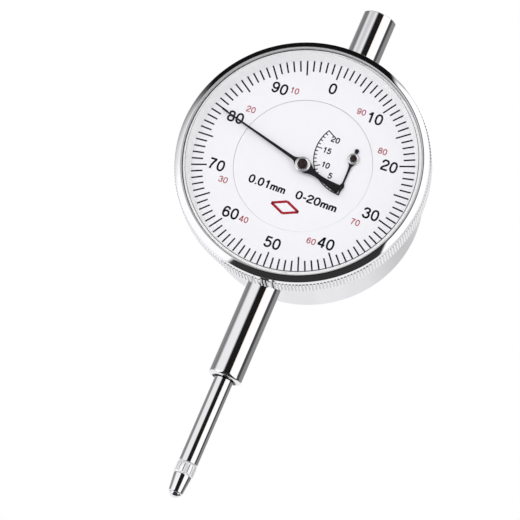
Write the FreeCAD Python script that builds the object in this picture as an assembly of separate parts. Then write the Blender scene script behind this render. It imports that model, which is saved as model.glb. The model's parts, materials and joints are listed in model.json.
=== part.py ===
"""Dial indicator with 20 mm of travel and an 8 mm stem, one STEP file per piece.

Millimetres.  +Z runs up the spindle, the dial faces -Y, and +X is to the right of a
person reading the dial.  The origin is on the spindle's axis, halfway along the
stem's clamping surface.  Inside the case, heights and sideways places are given from
the dial's centre, and "lift" is a height above the dial's face, towards the reader.
"""
import FreeCAD, Part
import math
import os

# ---- driving dimensions -------------------------------------------------------------
STEM_R = 4.0                # 8 mm mounting stem
STEM_TIP = -49.8            # its lower end, from the dial's centre
STEM_LIP_R = 0.85           # rounding of that end
STEM_END = STEM_TIP + STEM_LIP_R
STEM_SHOULDER = -25.9       # where it seats on the case
SPINDLE_R = 2.25
SPINDLE_END = -71.0
SPINDLE_TOP = 22.0
TRAVEL = 20.5               # spindle travel: 20 mm of reading and a little over
RUN_CLEARANCE = 0.02        # radial clearance of a shaft in its bush

DIAL_BEHIND = 13.16         # the spindle's axis is this far behind the dial's face
DIAL_Z = -(STEM_END + STEM_SHOULDER) / 2
DIAL_Y = -DIAL_BEHIND

CASE_R = 26.0
CASE_BORE_R = 24.0
CASE_REAR_Y = 7.6
PLATE_R = 24.9              # front plate, let into the case
COVER_REAR_Y = 9.0
COVER_SEAT_R = 25.3         # recess for the back cover's gasket
COVER_SEAT_Y = 7.3
COVER_SCREW_SEAT_Y = 8.2
BEZEL_R = 29.1
CREST_R = 27.65
CREST_LIFT = 3.5
BAND_R = 28.88              # smooth band between the knurl and the bevel
CRYSTAL_R = 27.2
CRYSTAL_LIFT = (2.7, 3.4)
DIAL_RING_R = 26.95
STEP_R = 15.8               # step between the fixed inner dial and the turning ring
DIAL_THICK = 0.5
BEZEL_SKIRT_LIFT = -3.2

PLATE_FRONT_Y = DIAL_Y + 0.8
PLATE_REAR_Y = PLATE_FRONT_Y + 1.5
MID_Y = (-4.5, -3.0)        # front and rear faces of the mid plate
BRIDGE_Y = (2.7, 3.7)       # front and rear faces of the rear bridge

RACK_PITCH = 0.625          # 16 teeth to 10 mm
ADDENDUM = 0.18
DEDENDUM = 0.24
TOOTH_WIDTH = 0.27          # on the pitch line, which leaves backlash
RACK_PINION_TEETH = 16
WHEEL_TEETH = 100
CENTRE_TEETH = 10
COUNTER_TEETH = 96          # 60 mm of rack to a turn: 6 degrees per millimetre
LEFT_RACK_X = -1.55         # pitch line that drives the rack pinion
COUNTER_AT = (10.2, 5.4)    # small hand's pivot, right of and above the centre
TAKE_UP_X = 3.0

LONG_HAND_TURN = 285.3      # degrees clockwise from the top at rest
LONG_HAND_TIP = 23.1
LONG_HAND_TAIL = 10.5
LONG_HAND_LIFT = 0.7
LONG_HAND_THICK = 0.16
SMALL_HAND_TURN = 180.0
SMALL_HAND_TIP = 9.3
SMALL_HAND_LIFT = 0.05
SMALL_HAND_THICK = 0.14
PIVOT_R = 0.35
JEWEL_R = 0.9
GUIDE_PIN_R = 0.8
GUIDE_PIN_Z = -4.0
SPRING_X = -7.0
SPRING_Y = 4.85
SPRING_COIL_R = 0.9
SPRING_WIRE_R = 0.15
SPRING_POST_Z = -17.5

SCREW_CIRCLE_R = 22.2
FRONT_SCREW_ANGLES = (20, 160, 200, 340)
COVER_SCREW_ANGLES = (45, 135, 225, 315)
PLATE_PILLARS = ((-16, -3), (-12, -14), (16, 3), (12, 14))
BRIDGE_PILLARS = ((-5.5, 17), (-5.5, -6.5), (6, 18.5), (5, -8))
LUG_THICK = 6.0
LUG_END_R = 6.5
LUG_HOLE_R = 3.25
LUG_HOLE_Y = 15.1

V = FreeCAD.Vector
ALONG_Y = V(0, 1, 0)
ALONG_Z = V(0, 0, 1)


# ---- shape helpers ------------------------------------------------------------------
def at(x, y, z):
    """A point given from the dial's centre sideways and up, and from the spindle in depth."""
    return V(x, y, DIAL_Z + z)


def lift_y(lift):
    """Depth of a height above the dial's face."""
    return DIAL_Y - lift


def rod(radius, y0, y1, x=0.0, z=0.0):
    """Cylinder along Y between two depths."""
    return Part.makeCylinder(radius, y1 - y0, at(x, y0, z), ALONG_Y)


def tube(outer, inner, y0, y1, x=0.0, z=0.0):
    return rod(outer, y0, y1, x, z).cut(rod(inner, y0, y1, x, z))


def post(radius, z0, z1, x=0.0, y=0.0):
    """Cylinder along Z between two heights."""
    return Part.makeCylinder(radius, z1 - z0, at(x, y, z0), ALONG_Z)


def block(x0, x1, y0, y1, z0, z1):
    return Part.makeBox(x1 - x0, y1 - y0, z1 - z0, at(x0, y0, z0))


def polygon_face(points):
    return Part.Face(Part.makePolygon(points + [points[0]]))


def turned_about_dial(section):
    """Revolve (radius, depth) points about the dial's axis."""
    face = polygon_face([at(radius, y, 0) for radius, y in section])
    return face.revolve(at(0, 0, 0), ALONG_Y, 360)


def turned_about_spindle(section):
    """Revolve (radius, height) points about the spindle's axis."""
    face = polygon_face([at(radius, 0, z) for radius, z in section])
    return face.revolve(at(0, 0, 0), ALONG_Z, 360)


def plate(outline, y0, y1):
    """Extrude (x, z) points between two depths."""
    return polygon_face([at(x, y0, z) for x, z in outline]).extrude(V(0, y1 - y0, 0))


def on_circle(radius, degrees):
    return radius * math.cos(math.radians(degrees)), radius * math.sin(math.radians(degrees))


def joined(shapes):
    first, *rest = shapes
    return first.fuse(rest).removeSplitter() if rest else first


def without(shape, cutters):
    return shape.cut(Part.makeCompound(cutters))


def save(name, shape):
    if not shape.isValid():
        raise ValueError(name + " is not a valid solid")
    shape.exportStep("parts/" + name + ".step")


# ---- teeth --------------------------------------------------------------------------
def pitch_radius(teeth):
    return teeth * RACK_PITCH / (2 * math.pi)


def tooth_section(slim):
    """Distance from the pitch line and half width, root to tip, of one tooth's flank."""
    root_factor = 0.95 if slim else 1.15
    half = TOOTH_WIDTH / 2
    return ((-DEDENDUM, half * root_factor), (0.0, half), (ADDENDUM, half / 2))


def toothed_disc(teeth, tooth_angle, y0, y1, x, z, slim=False):
    """Gear blank with straight-sided teeth, one of them centred on tooth_angle (radians)."""
    pitch_r = pitch_radius(teeth)
    flank = tooth_section(slim)
    outline = []
    for i in range(teeth):
        middle = tooth_angle + 2 * math.pi * i / teeth
        for side, steps in ((-1, flank), (1, reversed(flank))):
            for height, half in steps:
                radius = pitch_r + height
                angle = middle + side * half / radius
                outline.append((x + radius * math.cos(angle), z + radius * math.sin(angle)))
    return plate(outline, y0, y1)


def rack_cutter(pitch_x, side, gear_z, z0, z1, half_width):
    """What a cutter takes off one side of the spindle to leave rack teeth.

    side is -1 for teeth that point to -X and +1 for +X; a gap faces the gear's centre.
    """
    flank = tooth_section(slim=False)
    outline = []
    first = math.ceil((z0 - gear_z) / RACK_PITCH)
    last = math.floor((z1 - gear_z) / RACK_PITCH)
    for i in range(first, last):
        middle = gear_z + (i + 0.5) * RACK_PITCH
        for way, steps in ((-1, flank), (1, reversed(flank))):
            for height, half in steps:
                outline.append((pitch_x + side * height, middle + way * half))
    outside = side * (SPINDLE_R + 1.0)
    tip_x = pitch_x + side * ADDENDUM
    outline = [(outside, z0), (tip_x, z0), (tip_x, outline[0][1])] + outline
    outline += [(tip_x, outline[-1][1]), (tip_x, z1), (outside, z1)]
    return plate(outline, -half_width, half_width)


def spoked_wheel(teeth, tooth_angle, y0, y1, x, z, bore_r):
    """Brass wheel: toothed rim, four crossings, a bore, and a boss on its rear face."""
    rim_r = pitch_radius(teeth) - DEDENDUM - 1.1
    boss_r = bore_r + 1.2
    wheel = toothed_disc(teeth, tooth_angle, y0, y1, x, z)
    window = tube(rim_r, boss_r + 0.6, y0, y1, x, z)
    arms = [Part.makeBox(2 * rim_r, y1 - y0, 1.3, at(x - rim_r, y0, z - 0.65)),
            Part.makeBox(1.3, y1 - y0, 2 * rim_r, at(x - 0.65, y0, z - rim_r))]
    wheel = wheel.cut(window.cut(Part.makeCompound(arms)))
    return wheel.fuse(rod(boss_r, y1, y1 + 0.6, x, z)).cut(rod(bore_r, y0, y1 + 0.6, x, z))


# ---- places worked out from the gear train ------------------------------------------
CENTRE_DISTANCE = pitch_radius(WHEEL_TEETH) + pitch_radius(CENTRE_TEETH)
FIRST_X = LEFT_RACK_X - pitch_radius(RACK_PINION_TEETH)
FIRST_AT = (FIRST_X, math.sqrt(CENTRE_DISTANCE ** 2 - FIRST_X ** 2))
TAKE_UP_AT = (TAKE_UP_X, -math.sqrt(CENTRE_DISTANCE ** 2 - TAKE_UP_X ** 2))
RIGHT_RACK_X = COUNTER_AT[0] - pitch_radius(COUNTER_TEETH)

first_to_centre = math.atan2(-FIRST_AT[1], -FIRST_AT[0])
centre_to_take_up = math.atan2(TAKE_UP_AT[1], TAKE_UP_AT[0])
centre_tooth = first_to_centre + math.pi + math.pi / CENTRE_TEETH
centre_step = 2 * math.pi / CENTRE_TEETH
tooth_past_line = (centre_tooth - centre_to_take_up) % centre_step
take_up_tooth = (centre_to_take_up + math.pi + math.pi / WHEEL_TEETH
                 - tooth_past_line * CENTRE_TEETH / WHEEL_TEETH)


# ---- case, stem and covers ----------------------------------------------------------
def make_case():
    shell = turned_about_dial([
        (CASE_BORE_R, PLATE_REAR_Y), (PLATE_R, PLATE_REAR_Y), (PLATE_R, PLATE_FRONT_Y),
        (CASE_R, PLATE_FRONT_Y), (CASE_R, -11.86), (25.7, -11.86), (25.7, -11.46),
        (CASE_R, -11.46), (CASE_R, CASE_REAR_Y), (COVER_SEAT_R, CASE_REAR_Y), (COVER_SEAT_R, COVER_SEAT_Y),
        (24.5, COVER_SEAT_Y), (24.5, CASE_REAR_Y), (CASE_BORE_R, CASE_REAR_Y)])
    bosses = [rod(2.0, PLATE_REAR_Y, -6.0, *on_circle(SCREW_CIRCLE_R, a)) for a in FRONT_SCREW_ANGLES]
    bosses += [rod(2.0, 2.0, CASE_REAR_Y, *on_circle(SCREW_CIRCLE_R, a)) for a in COVER_SCREW_ANGLES]
    bosses += [block(-5.6, 5.6, -5.4, 5.4, -25.0, -21.5), block(-5.6, 5.6, -5.4, 5.4, 21.5, 25.0)]
    case = joined([shell] + bosses)
    holes = [rod(0.7, PLATE_REAR_Y, -7.0, *on_circle(SCREW_CIRCLE_R, a)) for a in FRONT_SCREW_ANGLES]
    holes += [rod(0.8, 3.0, CASE_REAR_Y, *on_circle(SCREW_CIRCLE_R, a)) for a in COVER_SCREW_ANGLES]
    holes += [post(STEM_R, -27.0, STEM_SHOULDER), post(3.2, STEM_SHOULDER - 0.5, -21.0)]
    holes += [post(STEM_R, -STEM_SHOULDER, 27.0), post(3.2, 21.0, -STEM_SHOULDER + 0.5)]
    save("case_body", without(case, holes))


def make_stem():
    lip_middle = STEM_R - STEM_LIP_R
    outline = [at(2.95, 0, STEM_TIP), at(lip_middle, 0, STEM_TIP)]
    bulge = STEM_LIP_R * math.sqrt(0.5)
    lip = Part.Arc(outline[1], at(lip_middle + bulge, 0, STEM_END - bulge), at(STEM_R, 0, STEM_END)).toShape()
    rest = [at(STEM_R, 0, STEM_END), at(STEM_R, 0, STEM_SHOULDER), at(3.2, 0, STEM_SHOULDER),
            at(3.2, 0, -19.6), at(2.5, 0, -19.6), at(2.5, 0, -28.0), at(2.8, 0, -28.0),
            at(2.8, 0, STEM_TIP + 0.9), at(2.95, 0, STEM_TIP + 0.9), at(2.95, 0, STEM_TIP)]
    wire = Part.Wire([Part.makePolygon(outline), lip, Part.makePolygon(rest)])
    save("stem_sleeve", Part.Face(wire).revolve(at(0, 0, 0), ALONG_Z, 360))

    bush_length = 8.0
    bore = SPINDLE_R + RUN_CLEARANCE
    lower = [post(2.8, z, z + bush_length).cut(post(bore, z, z + bush_length))
             for z in (STEM_TIP + 0.9, -28.0 - bush_length)]
    save("lower_bushes", Part.makeCompound(lower))

    nut = Part.Face(Part.makePolygon([at(*on_circle(5.0, 60 * i), -21.5) for i in range(7)]))
    nut = nut.extrude(V(0, 0, 1.7)).cut(post(3.2, -21.5, -19.8))
    save("stem_nut", nut)


def make_cap():
    bush = turned_about_spindle([
        (SPINDLE_R + RUN_CLEARANCE, 19.6), (4.2, 19.6), (4.2, 21.5), (3.2, 21.5), (3.2, 28.5),
        (SPINDLE_R + RUN_CLEARANCE, 28.5)])
    save("upper_bush", bush)
    cap = turned_about_spindle([
        (3.2, -STEM_SHOULDER), (STEM_R, -STEM_SHOULDER), (STEM_R, 43.85), (3.75, 44.1),
        (0, 44.1), (0, 42.9), (2.7, 42.9), (2.7, 28.7), (3.2, 28.7)])
    save("dust_cap", cap)


def make_back():
    spots = [on_circle(SCREW_CIRCLE_R, a) for a in COVER_SCREW_ANGLES]
    cover = turned_about_dial([
        (0, CASE_REAR_Y), (CASE_R, CASE_REAR_Y), (CASE_R, COVER_REAR_Y - 0.5),
        (CASE_R - 0.5, COVER_REAR_Y), (0, COVER_REAR_Y)])
    lug = block(-LUG_THICK / 2, LUG_THICK / 2, COVER_SCREW_SEAT_Y, LUG_HOLE_Y, -LUG_END_R, LUG_END_R)
    eye = Part.makeCylinder(LUG_END_R, LUG_THICK, at(-LUG_THICK / 2, LUG_HOLE_Y, 0), V(1, 0, 0))
    hole = Part.makeCylinder(LUG_HOLE_R, LUG_THICK, at(-LUG_THICK / 2, LUG_HOLE_Y, 0), V(1, 0, 0))
    holes = [rod(1.5, COVER_SCREW_SEAT_Y, COVER_REAR_Y, *spot) for spot in spots]
    holes += [rod(0.8, CASE_REAR_Y, COVER_SCREW_SEAT_Y, *spot) for spot in spots]
    save("back_cover", without(joined([cover, lug, eye]), holes + [hole]))
    save("back_gasket", tube(COVER_SEAT_R, 24.5, COVER_SEAT_Y, CASE_REAR_Y))
    save("back_cover_screws", Part.makeCompound(
        [slotted_screw(1.5, COVER_SCREW_SEAT_Y, COVER_REAR_Y, 0.8, 3.0, *spot) for spot in spots]))


def slotted_screw(head_r, head_front, head_rear, shank_r, shank_end, x, z):
    """Screw with a slotted head; the shank runs from the head to shank_end."""
    outward = 1 if head_rear > head_front else -1
    head = rod(head_r, min(head_front, head_rear), max(head_front, head_rear), x, z)
    shank = rod(shank_r, min(head_front, shank_end), max(head_front, shank_end), x, z)
    slot_depth = 0.3
    slot_y = sorted((head_rear, head_rear - outward * slot_depth))
    slot = Part.makeBox(2 * head_r, slot_depth, 0.35, at(x - head_r, slot_y[0], z - 0.175))
    return head.fuse(shank).cut(slot)


# ---- plates that hold the gear train ------------------------------------------------
def make_plates():
    centre_hole = (0.0, 0.0)
    front = rod(PLATE_R, PLATE_FRONT_Y, PLATE_REAR_Y)
    jewelled = (centre_hole, FIRST_AT, TAKE_UP_AT, COUNTER_AT)
    holes = [rod(JEWEL_R, PLATE_FRONT_Y, PLATE_REAR_Y, *spot) for spot in jewelled]
    screw_spots = [on_circle(SCREW_CIRCLE_R, a) for a in FRONT_SCREW_ANGLES]
    holes += [rod(1.2, PLATE_FRONT_Y, PLATE_FRONT_Y + 0.7, *spot) for spot in screw_spots]
    holes += [rod(0.7, PLATE_FRONT_Y + 0.7, PLATE_REAR_Y, *spot) for spot in screw_spots]
    save("front_plate", without(front, holes))
    save("front_plate_screws", Part.makeCompound(
        [slotted_screw(1.2, PLATE_FRONT_Y + 0.7, PLATE_FRONT_Y, 0.7, -7.0, *s) for s in screw_spots]))

    mid = rod(19.5, *MID_Y)
    holes = [rod(JEWEL_R, *MID_Y, *spot) for spot in (centre_hole, TAKE_UP_AT)]
    holes += [rod(1.3, *MID_Y, *spot) for spot in (FIRST_AT, COUNTER_AT)]
    holes += [rod(0.6, *MID_Y, *spot) for spot in PLATE_PILLARS]
    holes.append(rod(0.7, *MID_Y, SPRING_X, SPRING_POST_Z))
    save("mid_plate", without(mid, holes))
    save("plate_pillars", Part.makeCompound(
        [rod(1.4, PLATE_REAR_Y, MID_Y[0], *s).cut(rod(0.6, -7.5, MID_Y[0], *s)) for s in PLATE_PILLARS]))
    save("plate_screws", Part.makeCompound(
        [slotted_screw(1.1, MID_Y[1], MID_Y[1] + 0.7, 0.6, -7.5, *s) for s in PLATE_PILLARS]))

    bridge = plate([(-7.3, -8), (-7.3, 19.3), (8, 20.4), (13, 8), (12.5, 2.5), (7.2, -10)], *BRIDGE_Y)
    holes = [rod(JEWEL_R, *BRIDGE_Y, *spot) for spot in (FIRST_AT, COUNTER_AT)]
    holes += [rod(1.1, 3.1, BRIDGE_Y[1], *spot) for spot in BRIDGE_PILLARS]
    holes += [rod(0.6, BRIDGE_Y[0], 3.1, *spot) for spot in BRIDGE_PILLARS]
    slot_r = GUIDE_PIN_R + 0.03
    slot_top = GUIDE_PIN_Z + TRAVEL + 0.3
    holes += [block(-slot_r, slot_r, *BRIDGE_Y, GUIDE_PIN_Z, slot_top),
              rod(slot_r, *BRIDGE_Y, 0, GUIDE_PIN_Z), rod(slot_r, *BRIDGE_Y, 0, slot_top)]
    relief = block(-4.5, 4.5, *BRIDGE_Y, 19.2, 21.0)
    save("rear_bridge", without(bridge, holes + [relief]))
    save("bridge_pillars", Part.makeCompound(
        [rod(1.3, MID_Y[1], BRIDGE_Y[0], *s).cut(rod(0.6, 0, BRIDGE_Y[0], *s)) for s in BRIDGE_PILLARS]))
    save("bridge_screws", Part.makeCompound(
        [slotted_screw(1.1, 3.1, BRIDGE_Y[1], 0.6, 0.0, *s) for s in BRIDGE_PILLARS]))

    in_front = ((centre_hole, 0.53), (FIRST_AT, PIVOT_R + 0.03), (TAKE_UP_AT, PIVOT_R + 0.03),
                (COUNTER_AT, 0.43))
    jewels = [tube(JEWEL_R, r, PLATE_FRONT_Y, PLATE_REAR_Y, *s) for s, r in in_front]
    jewels += [tube(JEWEL_R, PIVOT_R + 0.03, *MID_Y, *s) for s in (centre_hole, TAKE_UP_AT)]
    jewels += [tube(JEWEL_R, PIVOT_R + 0.03, *BRIDGE_Y, *s) for s in (FIRST_AT, COUNTER_AT)]
    save("pivot_jewels", Part.makeCompound(jewels))


# ---- spindle and what it carries ----------------------------------------------------
def make_spindle():
    spindle = turned_about_spindle([
        (0, SPINDLE_END), (SPINDLE_R - 0.15, SPINDLE_END), (SPINDLE_R, SPINDLE_END + 0.15),
        (SPINDLE_R, SPINDLE_TOP - 0.4), (SPINDLE_R - 0.4, SPINDLE_TOP), (0, SPINDLE_TOP)])
    left = rack_cutter(LEFT_RACK_X, -1, FIRST_AT[1], FIRST_AT[1] - TRAVEL - 2.6, FIRST_AT[1] + 2.6, 3.0)
    right = rack_cutter(RIGHT_RACK_X, 1, COUNTER_AT[1], COUNTER_AT[1] - TRAVEL - 6.4,
                        COUNTER_AT[1] + 6.4, 0.8)
    stud_hole = post(1.25, SPINDLE_END, SPINDLE_END + 5.0)
    pin_hole = rod(GUIDE_PIN_R, 0.9, SPINDLE_R, 0, GUIDE_PIN_Z)
    save("spindle", without(spindle, [left, right, stud_hole, pin_hole]))

    save("guide_pin", rod(GUIDE_PIN_R, 0.9, 5.0, 0, GUIDE_PIN_Z))
    arm = block(SPRING_X - 1.2, 1.7, 4.0, 4.5, GUIDE_PIN_Z - 1.3, GUIDE_PIN_Z + 1.3)
    hook = rod(0.7, 4.5, 5.4, SPRING_X, GUIDE_PIN_Z)
    save("spring_arm", arm.fuse(hook).cut(rod(GUIDE_PIN_R, 4.0, 4.5, 0, GUIDE_PIN_Z)))


def make_contact_point():
    """Knurled collar and tapered nose that screw into the spindle, and the ball at the tip."""
    ball_r = 1.5
    ball_z = -77.9
    body = turned_about_spindle([
        (0, -66.2), (1.25, -66.2), (1.25, SPINDLE_END), (2.1, SPINDLE_END), (2.34, -71.3),
        (2.34, -73.65), (2.15, -73.95), (1.7, -78.1), (1.55, -78.3), (0, -78.3)])
    ball = Part.makeSphere(ball_r, at(0, 0, ball_z))
    save("contact_point", body.cut(ball))
    save("contact_ball", ball)


def make_springs():
    """Return spring from its post up to the arm, and the flat spiral on the take-up arbor."""
    save("spring_post", rod(0.7, MID_Y[0], 5.6, SPRING_X, SPRING_POST_Z))
    low = SPRING_POST_Z + 1.3
    high = GUIDE_PIN_Z - 1.6
    turns = 14
    helix = Part.makeHelix((high - low) / turns, high - low, SPRING_COIL_R)
    helix.translate(at(SPRING_X, SPRING_Y, low))
    section = Part.Wire([Part.Circle(at(SPRING_X + SPRING_COIL_R, SPRING_Y, low), ALONG_Y,
                                     SPRING_WIRE_R).toShape()])
    coil = Part.Wire(helix.Edges).makePipeShell([section], True, True)
    loops = [Part.makeTorus(SPRING_COIL_R, SPRING_WIRE_R, at(SPRING_X, SPRING_Y, z), ALONG_Y)
             for z in (SPRING_POST_Z, GUIDE_PIN_Z)]
    save("return_spring", Part.makeCompound([coil] + loops))

    thick = 0.12
    half_turns = 10
    radius = 1.7
    step = 0.36
    spring_y = -8.4
    x, z = TAKE_UP_AT
    outer, inner = [], []
    for i in range(half_turns):
        r = radius + i * step
        middle = x + (step / 2 if i % 2 else -step / 2)
        up = 1 if i % 2 == 0 else -1
        for edges, rr in ((outer, r + thick / 2), (inner, r - thick / 2)):
            start = at(middle + up * rr, spring_y, z)
            end = at(middle - up * rr, spring_y, z)
            edges.append(Part.Arc(start, at(middle, spring_y, z + up * rr), end).toShape())
    ends = [Part.makeLine(outer[0].firstVertex().Point, inner[0].firstVertex().Point),
            Part.makeLine(outer[-1].lastVertex().Point, inner[-1].lastVertex().Point)]
    spiral = Part.Face(Part.Wire(Part.__sortEdges__(outer + inner + ends)))
    save("hairspring", spiral.extrude(V(0, 0.6, 0)))
    end_point = outer[-1].lastVertex().Point
    save("hairspring_stud", rod(0.5, PLATE_REAR_Y, -7.8, end_point.x, end_point.z - DIAL_Z + 0.5))


# ---- wheels and arbors --------------------------------------------------------------
def arbor(spot, sections):
    """Arbor of stepped diameters: (radius, front depth, rear depth) for each step."""
    return joined([rod(radius, y0, y1, *spot) for radius, y0, y1 in sections])


def make_train():
    front_shoulder = PLATE_REAR_Y + 0.1
    mid_shoulder = MID_Y[0] - 0.1
    bridge_shoulder = BRIDGE_Y[0] - 0.1
    pivot_end = PLATE_FRONT_Y + 0.16

    stem = arbor(FIRST_AT, [(PIVOT_R, pivot_end, front_shoulder), (0.75, front_shoulder, bridge_shoulder),
                            (PIVOT_R, bridge_shoulder, 3.5)])
    pinion = toothed_disc(RACK_PINION_TEETH, 0.0, -1.3, 1.3, *FIRST_AT, slim=True)
    save("first_arbor", stem.fuse(pinion))
    save("first_wheel", spoked_wheel(WHEEL_TEETH, first_to_centre, -9.8, -9.0, *FIRST_AT, 0.75))

    centre = (0.0, 0.0)
    stem = arbor(centre, [(0.5, lift_y(LONG_HAND_LIFT + 0.52), -10.4), (0.6, -5.2, mid_shoulder),
                          (PIVOT_R, mid_shoulder, -3.2)])
    pinion = toothed_disc(CENTRE_TEETH, centre_tooth, -10.4, -5.2, *centre, slim=True)
    save("centre_arbor", stem.fuse(pinion))

    save("take_up_arbor", arbor(TAKE_UP_AT, [
        (PIVOT_R, pivot_end, front_shoulder), (0.6, front_shoulder, mid_shoulder),
        (PIVOT_R, mid_shoulder, -3.2)]))
    save("take_up_wheel", spoked_wheel(WHEEL_TEETH, take_up_tooth, -6.9, -6.1, *TAKE_UP_AT, 0.6))
    save("hairspring_collet", tube(1.3, 0.6, -8.6, -7.6, *TAKE_UP_AT))

    save("counter_arbor", arbor(COUNTER_AT, [
        (0.4, lift_y(SMALL_HAND_LIFT + 0.48), front_shoulder), (0.75, front_shoulder, bridge_shoulder),
        (PIVOT_R, bridge_shoulder, 3.5)]))
    save("counter_wheel", spoked_wheel(COUNTER_TEETH, math.pi, -0.5, 0.5, *COUNTER_AT, 0.75))


# ---- hands --------------------------------------------------------------------------
def hand(outline, hub_r, spot, turn, lift, thick, bore_r):
    """Flat hand along +Z through its pivot, turned clockwise as the reader sees it."""
    x, z = spot
    front = lift_y(lift + thick)
    blade = polygon_face([at(x + side, front, z + along) for along, side in outline])
    blade = blade.extrude(V(0, thick, 0)).fuse(rod(hub_r, front, front + thick, x, z))
    blade.rotate(at(x, 0, z), ALONG_Y, turn)
    return blade.cut(rod(bore_r, front, front + thick, x, z))


def mirrored(half):
    """Close an outline from its right half."""
    return half + [(along, -side) for along, side in reversed(half)]


def make_hands():
    neck = -1.6
    tail_length = LONG_HAND_TAIL + neck
    tail = [(neck - tail_length * i / 6, 0.45 + 0.65 * (i / 6) ** 2) for i in range(7)]
    long_outline = mirrored([(LONG_HAND_TIP, 0.11), (1.5, 0.56)] + tail)
    centre = (0.0, 0.0)
    save("long_hand", hand(long_outline, 1.7, centre, LONG_HAND_TURN, LONG_HAND_LIFT, LONG_HAND_THICK, 0.6))
    top = LONG_HAND_LIFT + LONG_HAND_THICK
    save("long_hand_hub", joined([tube(1.8, 1.15, lift_y(top + 0.26), lift_y(top)),
                                  tube(1.15, 0.5, lift_y(top + 0.39), lift_y(top)),
                                  tube(0.6, 0.5, lift_y(top), lift_y(LONG_HAND_LIFT - 0.3))]))

    tail = [on_circle(0.42, a) for a in range(0, 91, 30)]
    small_half = [(SMALL_HAND_TIP, 0.07), (7.6, 0.2)]
    small_half += [(7.0 + 0.52 * math.cos(math.radians(a)), 0.52 * math.sin(math.radians(a)))
                   for a in range(30, 151, 30)]
    small_half += [(6.4, 0.22), (1.0, 0.34)] + [(-1.9 - side, along) for side, along in reversed(tail)]
    small_outline = mirrored(small_half)
    save("small_hand", hand(small_outline, 1.1, COUNTER_AT, SMALL_HAND_TURN,
                            SMALL_HAND_LIFT, SMALL_HAND_THICK, 0.5))
    top = SMALL_HAND_LIFT + SMALL_HAND_THICK
    save("small_hand_hub", joined([tube(1.25, 0.75, lift_y(top + 0.23), lift_y(top), *COUNTER_AT),
                                   tube(0.75, 0.4, lift_y(top + 0.3), lift_y(top), *COUNTER_AT),
                                   tube(0.5, 0.4, lift_y(top), lift_y(SMALL_HAND_LIFT - 0.15), *COUNTER_AT)]))


# ---- dial and bezel -----------------------------------------------------------------
def make_dial():
    disc = rod(STEP_R, lift_y(-0.15), PLATE_FRONT_Y)
    save("inner_dial", without(disc, [rod(0.9, lift_y(-0.15), PLATE_FRONT_Y),
                                      rod(0.8, lift_y(-0.15), PLATE_FRONT_Y, *COUNTER_AT)]))
    save("dial_ring", tube(DIAL_RING_R, STEP_R + 0.08, lift_y(0), lift_y(-DIAL_THICK)))


def make_bezel():
    seat_r = CRYSTAL_R + 0.2
    seat_y = lift_y(CRYSTAL_LIFT[0])
    skirt_r = CASE_R + 0.05
    skirt_y = lift_y(BEZEL_SKIRT_LIFT)
    ledge_y = lift_y(-DIAL_THICK)
    save("bezel_ring", turned_about_dial([
        (skirt_r, skirt_y), (BEZEL_R - 0.2, skirt_y), (BEZEL_R, skirt_y - 0.2), (BEZEL_R, lift_y(1.35)),
        (BEZEL_R - 0.4, lift_y(1.5)), (BAND_R, lift_y(1.65)), (BAND_R, lift_y(2.76)),
        (CREST_R, lift_y(CREST_LIFT)), (seat_r, lift_y(CREST_LIFT)), (seat_r, seat_y),
        (DIAL_RING_R, seat_y), (DIAL_RING_R, ledge_y), (25.6, ledge_y), (25.6, ledge_y + 0.2),
        (skirt_r, ledge_y + 0.2), (skirt_r, -11.91), (skirt_r + 0.3, -11.91), (skirt_r + 0.3, -11.41),
        (skirt_r, -11.41)]))
    save("snap_ring", tube(26.2, 25.75, -11.82, -11.5))
    save("rehaut_ring", turned_about_dial([
        (25.5, lift_y(0)), (DIAL_RING_R, lift_y(0)), (DIAL_RING_R, seat_y), (26.65, seat_y)]))
    save("crystal", rod(CRYSTAL_R, lift_y(CRYSTAL_LIFT[1]), seat_y))
    save("crystal_gasket", tube(seat_r, CRYSTAL_R, lift_y(3.42), seat_y))


os.makedirs("parts", exist_ok=True)
make_case()
make_stem()
make_cap()
make_back()
make_plates()
make_spindle()
make_contact_point()
make_springs()
make_train()
make_hands()
make_dial()
make_bezel()
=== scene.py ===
"""Looks of the dial indicator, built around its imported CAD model.

Lengths are millimetres in the CAD model's frame until a mesh is made, when MM turns them
into metres.  A place on the dial is given by how far right of and above its centre it is, and
by its lift, the height above the dial's face towards the reader.  Clock angles run
clockwise from the top, as the reader sees them.
"""
import bpy
import bmesh
import json
import math
from mathutils import Matrix, Vector

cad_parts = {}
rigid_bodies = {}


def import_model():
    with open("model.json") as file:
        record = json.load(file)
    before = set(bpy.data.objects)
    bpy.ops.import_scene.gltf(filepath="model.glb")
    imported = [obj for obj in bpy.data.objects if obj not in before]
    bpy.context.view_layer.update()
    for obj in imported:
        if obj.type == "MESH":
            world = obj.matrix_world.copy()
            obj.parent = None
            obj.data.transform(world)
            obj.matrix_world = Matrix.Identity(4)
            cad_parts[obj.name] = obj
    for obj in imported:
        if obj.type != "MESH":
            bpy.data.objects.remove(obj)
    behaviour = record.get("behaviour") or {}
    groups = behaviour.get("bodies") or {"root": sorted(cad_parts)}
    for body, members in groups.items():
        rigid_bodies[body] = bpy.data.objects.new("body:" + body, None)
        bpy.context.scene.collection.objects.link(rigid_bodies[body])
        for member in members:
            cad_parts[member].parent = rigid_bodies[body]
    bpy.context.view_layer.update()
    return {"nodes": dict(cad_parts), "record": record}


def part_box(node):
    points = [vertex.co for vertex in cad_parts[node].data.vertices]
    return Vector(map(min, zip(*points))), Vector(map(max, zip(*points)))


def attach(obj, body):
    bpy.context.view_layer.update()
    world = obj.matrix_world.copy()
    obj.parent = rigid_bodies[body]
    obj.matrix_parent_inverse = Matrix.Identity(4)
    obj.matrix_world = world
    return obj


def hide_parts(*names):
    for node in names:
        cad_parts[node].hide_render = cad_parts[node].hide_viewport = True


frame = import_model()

MM = 0.001


# ---- places read from the frame -----------------------------------------------------
def node_box(node):
    low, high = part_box(node)
    return low / MM, high / MM


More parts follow.
